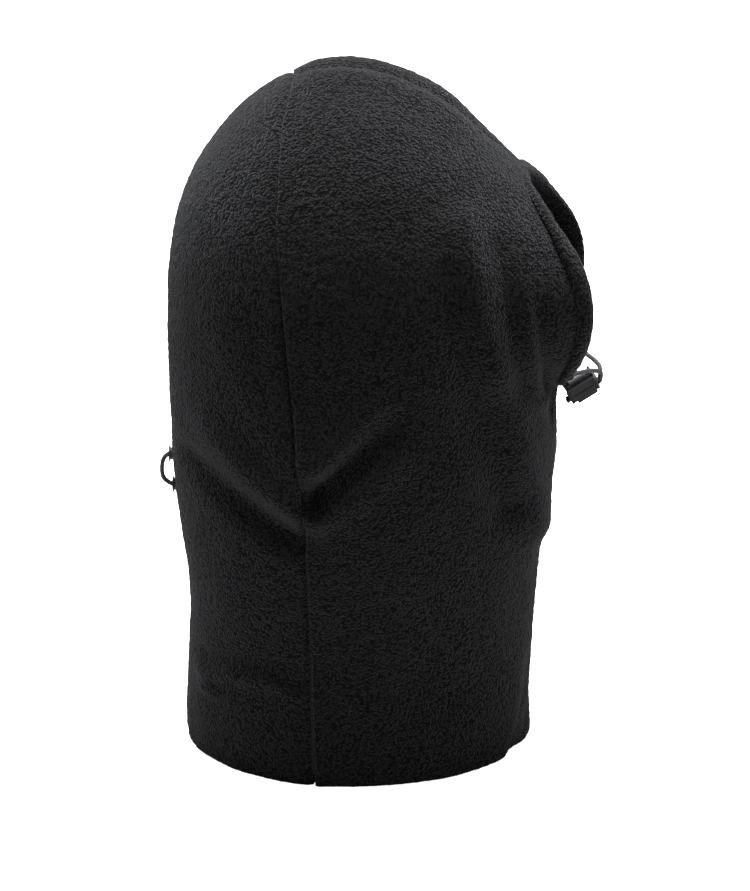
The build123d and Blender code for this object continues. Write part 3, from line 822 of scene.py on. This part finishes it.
def leaf_spring():
    """Bowed strip of steel between the button and the roof of the lock."""
    y = np.linspace(-SPRING_REACH, SPRING_REACH, 41)[:, None]
    x = np.linspace(-SPRING_HALF_WIDTH, SPRING_HALF_WIDTH, 5)[None, :]
    rise = SPRING_CREST - SPRING_FOOT - SPRING_STEEL
    z = SPRING_FOOT + SPRING_STEEL + rise * (1 - (y / SPRING_REACH) ** 2) + 0 * x
    grid = np.array([1.0, 0, 0]) * (x + 0 * y)[..., None] + LOCK_BACK * (y + 0 * x)[..., None]
    top = BAR + grid + LOCK_UP * z[..., None]
    return thick_sheet(top, top - LOCK_UP * SPRING_STEEL)


spring = mesh_object("lock_leaf", *leaf_spring(), STEEL)
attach(spring, "cord_lock")
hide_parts("lock_spring")
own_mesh(spring)

# ---------------------------------------------------------------- nape channel
NAPE_Z = 147.5
NAPE_LOOP_R = 8.5  # half the distance between the cord's two runs
TAPE_HALF_HEIGHT = 14.0
TAPE_INSET = 3.3  # from the cloth's outside to the tape
TAPE_THICKNESS = 0.8
TUNNEL = 4.2  # how far the tape stands off for the cord
CORD_INSET = 5.9
CHANNEL_START = 0.32  # angle from the seam at which the tape starts


def nape_tape():
    """Tape stitched along both edges inside the back panel, with a tunnel for the cord between."""
    z = np.linspace(NAPE_Z - TAPE_HALF_HEIGHT, NAPE_Z + TAPE_HALF_HEIGHT, 34)[:, None]
    angle = np.linspace(CHANNEL_START, pi - CHANNEL_START, 320)[None, :] + 0 * z
    share = np.abs(z - NAPE_Z) / TAPE_HALF_HEIGHT
    tunnel = TUNNEL * (1 - smooth((share - 0.72) / 0.16))
    ripple = 0.25 * np.sin(angle * 60) * (1 - share)
    outer = under_cloth(z, angle, 1, TAPE_INSET + tunnel + ripple)
    inner = under_cloth(z, angle, 1, TAPE_INSET + tunnel + ripple + TAPE_THICKNESS)
    return thick_sheet(outer, inner)


cloth_piece(mesh_object("nape_tape", *nape_tape(), TAPE), "tape", "nape_channel")


def nape_run(side, z):
    """The cord from its tacked end to the middle of the nape, on one side."""
    turn = np.linspace(pi / 2 - CHANNEL_START - 0.04, 0.12, 30)
    return list(under_cloth(z + 0 * turn, pi / 2 - side * turn, 1, CORD_INSET))


def nape_back(z):
    """Y of the form at the middle of the nape."""
    return WIDEST_Y + float(section(np.float64(z))[1])


UPPER, LOWER = NAPE_Z + NAPE_LOOP_R, NAPE_Z - NAPE_LOOP_R
NAPE_LOOP = [
    [1.6, nape_back(UPPER) - CORD_INSET + 0.5, UPPER],
    [0, nape_back(UPPER) + 1.0, UPPER],
    [0, nape_back(NAPE_Z) + 5.2, NAPE_Z + NAPE_LOOP_R / 2],
    [0, nape_back(NAPE_Z) + 5.2, NAPE_Z - NAPE_LOOP_R / 2],
    [0, nape_back(LOWER) + 1.0, LOWER],
    [-1.6, nape_back(LOWER) - CORD_INSET + 0.5, LOWER],
]
nape_line = through(nape_run(1, UPPER) + NAPE_LOOP + nape_run(-1, LOWER)[::-1], CORD_STEP)
nape_cord = mesh_object("nape_braid", *rod(nape_line, CORD_RADIUS, CORD_SIDES, braid), CORD)
cloth_piece(nape_cord, "cord", "nape_cord")


def tack(side, z):
    """A few turns of thread over the cord's end."""
    turn = np.linspace(pi / 2 - CHANNEL_START - 0.03, pi / 2 - CHANNEL_START - 0.07, 8)
    middle = under_cloth(z + 0 * turn, pi / 2 - side * turn, 1, CORD_INSET)
    return rod(through(middle, 0.3), 1.65, 16, lambda step, angle: 1 + 0.06 * np.cos(step * 1.9) + 0 * angle)


tacks = mesh_object("nape_tacks", *join([tack(1, UPPER), tack(-1, LOWER)]), THREAD)
cloth_piece(tacks, "thread", "nape_cord_tacks")

rows = []
for z in (NAPE_Z - TAPE_HALF_HEIGHT + 1.2, NAPE_Z + TAPE_HALF_HEIGHT - 1.2):
    angle = np.linspace(CHANNEL_START + 0.02, pi - CHANNEL_START - 0.02, 120)
    rows.append(stitches(under_cloth(z + 0 * angle, angle, 1, TAPE_INSET + 0.9), 2.4, 0.9, 0.3))
cloth_piece(mesh_object("nape_thread", *join(rows), THREAD), "thread", "nape_stitches")

# ---------------------------------------------------------------- finishes on the CAD's own solids
FINISH = {
    "lock_housing": PLASTIC,
    "lock_button": PLASTIC,
    "cord_tips": PLASTIC,
    "lock_cord_ends": CORD,
    "casing_eyelets": EYELET,
    "nape_eyelets": EYELET,
    "webbing_tab": WEBBING,
    "tab_bar_tacks": THREAD,
    "hem_stitches": THREAD,
    "label_stitches": THREAD,
    "care_label": LABEL,
}
for name, material in FINISH.items():
    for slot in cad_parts[name].material_slots:
        slot.material = material

# ---------------------------------------------------------------- studio
def seen_brighter(nodes, links, on_hood, to_camera, strength):
    """Light of one strength on the hood and another where the camera looks at the source."""
    rays = nodes.new("ShaderNodeLightPath")
    level = nodes.new("ShaderNodeMapRange")
    level.inputs["To Min"].default_value = on_hood
    level.inputs["To Max"].default_value = to_camera
    links.new(rays.outputs["Is Camera Ray"], level.inputs["Value"])
    links.new(level.outputs["Result"], strength)


scene = bpy.context.scene
floor_mesh = bpy.data.meshes.new("floor")
floor_mesh.from_pydata([(-6, -6, 0), (6, -6, 0), (6, 6, 0), (-6, 6, 0)], [], [(0, 1, 2, 3)])
floor = bpy.data.objects.new("floor", floor_mesh)
scene.collection.objects.link(floor)
floor_material, floor_nodes, floor_links, floor_shader = new_material("studio floor")
floor_shader.inputs["Base Color"].default_value = (0.5, 0.5, 0.5, 1)
floor_shader.inputs["Roughness"].default_value = 0.9
floor_shader.inputs["Emission Color"].default_value = (1, 1, 1, 1)
seen_brighter(floor_nodes, floor_links, 0.05, 0.85, floor_shader.inputs["Emission Strength"])
floor_mesh.materials.append(floor_material)

world = bpy.data.worlds.new("studio")
world.use_nodes = True
backdrop = world.node_tree.nodes["Background"]
backdrop.inputs["Color"].default_value = (1, 1, 1, 1)
seen_brighter(world.node_tree.nodes, world.node_tree.links, 0.12, 1.0, backdrop.inputs["Strength"])
scene.world = world
scene.view_settings.view_transform = "Standard"


def soft_light(name, place, power, size):
    """Square lamp that faces the middle of the hood."""
    lamp = bpy.data.lights.new(name, "AREA")
    lamp.energy = power
    lamp.size = size
    obj = bpy.data.objects.new(name, lamp)
    obj.location = place
    obj.rotation_euler = (Vector((0, 0, 0.18)) - Vector(place)).to_track_quat("-Z", "Y").to_euler()
    scene.collection.objects.link(obj)


soft_light("key", (-0.7, -1.2, 1.2), 8, 0.6)
soft_light("fill", (-1.5, 0.3, 0.5), 1.2, 1.0)
soft_light("top", (0.15, 0.0, 1.7), 185, 0.7)
soft_light("front rim", (0.9, -1.2, 0.8), 9, 0.6)
soft_light("back rim", (0.9, 1.2, 0.8), 16, 0.6)

AZIMUTH, ELEVATION, DISTANCE = radians(271), radians(20), 1.5
SENSOR = 36.0
VIEW_WIDTH = 0.39  # width of the view at the target, in metres
TARGET = Vector((0, HEAD_Y * MM - 0.009, 0.161))
away = Vector((sin(AZIMUTH) * cos(ELEVATION), -cos(AZIMUTH) * cos(ELEVATION), sin(ELEVATION)))
camera_data = bpy.data.cameras.new("camera")
camera_data.sensor_fit = "HORIZONTAL"
camera_data.sensor_width = SENSOR
camera_data.lens = SENSOR * DISTANCE / VIEW_WIDTH
camera = bpy.data.objects.new("camera", camera_data)
camera.location = TARGET + away * DISTANCE
camera.rotation_euler = (-away).to_track_quat("-Z", "Y").to_euler()
scene.collection.objects.link(camera)
scene.camera = camera
